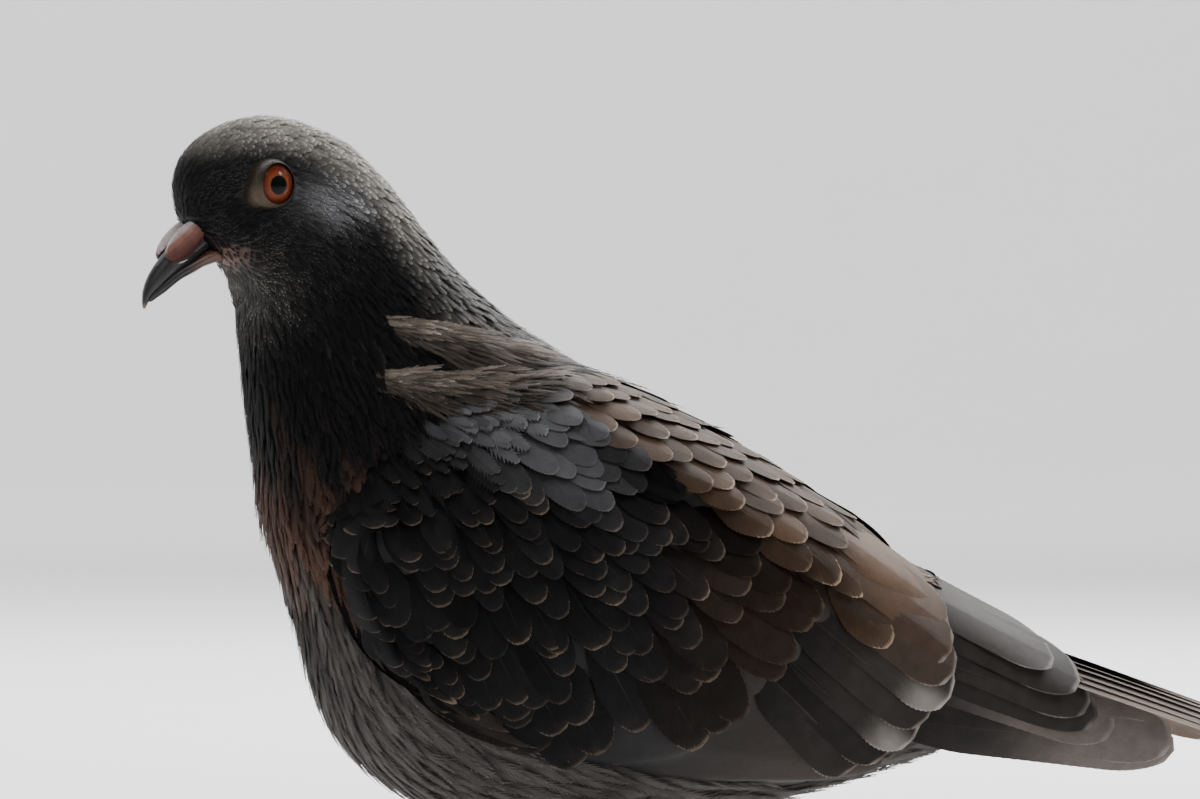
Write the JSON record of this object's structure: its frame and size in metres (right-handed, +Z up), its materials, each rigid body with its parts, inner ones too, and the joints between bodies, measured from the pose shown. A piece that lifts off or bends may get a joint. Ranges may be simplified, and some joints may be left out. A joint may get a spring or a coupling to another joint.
{
  "type": "pigeon",
  "caption": "Life-size still model of a young dark feral pigeon, standing with folded wings and its head turned a little to its left.",
  "frame": {"origin": "on the floor, under the middle of the bird's length and breadth from above", "axes": "+X towards the tail, -X towards the bill, -Y the bird's left side, +Z up"},
  "size_m": [0.2504, 0.095, 0.185],
  "materials": {
    "head_feathers": "soft matte, dark slate with pale speckles",
    "neck_feathers": "soft, near black with brown-grey streaks",
    "body_feathers": "soft matte, chestnut brown breast and taupe belly",
    "wing_feathers": "satin, blackish with thin pale edges",
    "flight_feathers": "satin, dark grey-brown with pale tips",
    "bill_horn": "satin horn",
    "cere_skin": "chalky pink-white skin",
    "eye": "wet gloss, orange iris and black pupil",
    "leg_scales": "satin red scales",
    "claw_horn": "satin horn"
  },
  "bodies": {
    "root": {"head": "head_feathers", "neck": "neck_feathers", "trunk": "body_feathers", "thigh_left": "body_feathers", "thigh_right": "body_feathers", "wing_left_scapulars": "wing_feathers", "wing_right_scapulars": "wing_feathers", "wing_left_coverts": "wing_feathers", "wing_right_coverts": "wing_feathers", "wing_left_secondaries": "flight_feathers", "wing_right_secondaries": "flight_feathers", "wing_left_primaries": "flight_feathers", "wing_right_primaries": "flight_feathers", "tail": "flight_feathers", "eye_left": "eye", "eye_right": "eye", "bill_upper": "bill_horn", "bill_lower": "bill_horn", "cere_left": "cere_skin", "cere_right": "cere_skin", "shank_left": "leg_scales", "shank_right": "leg_scales", "foot_left": "leg_scales", "foot_right": "leg_scales", "toe_left_middle": "leg_scales", "toe_left_inner": "leg_scales", "toe_left_outer": "leg_scales", "toe_left_hind": "leg_scales", "toe_right_middle": "leg_scales", "toe_right_inner": "leg_scales", "toe_right_outer": "leg_scales", "toe_right_hind": "leg_scales", "claw_left_middle": "claw_horn", "claw_left_inner": "claw_horn", "claw_left_outer": "claw_horn", "claw_left_hind": "claw_horn", "claw_right_middle": "claw_horn", "claw_right_inner": "claw_horn", "claw_right_outer": "claw_horn", "claw_right_hind": "claw_horn"}
  },
  "joints": []
}
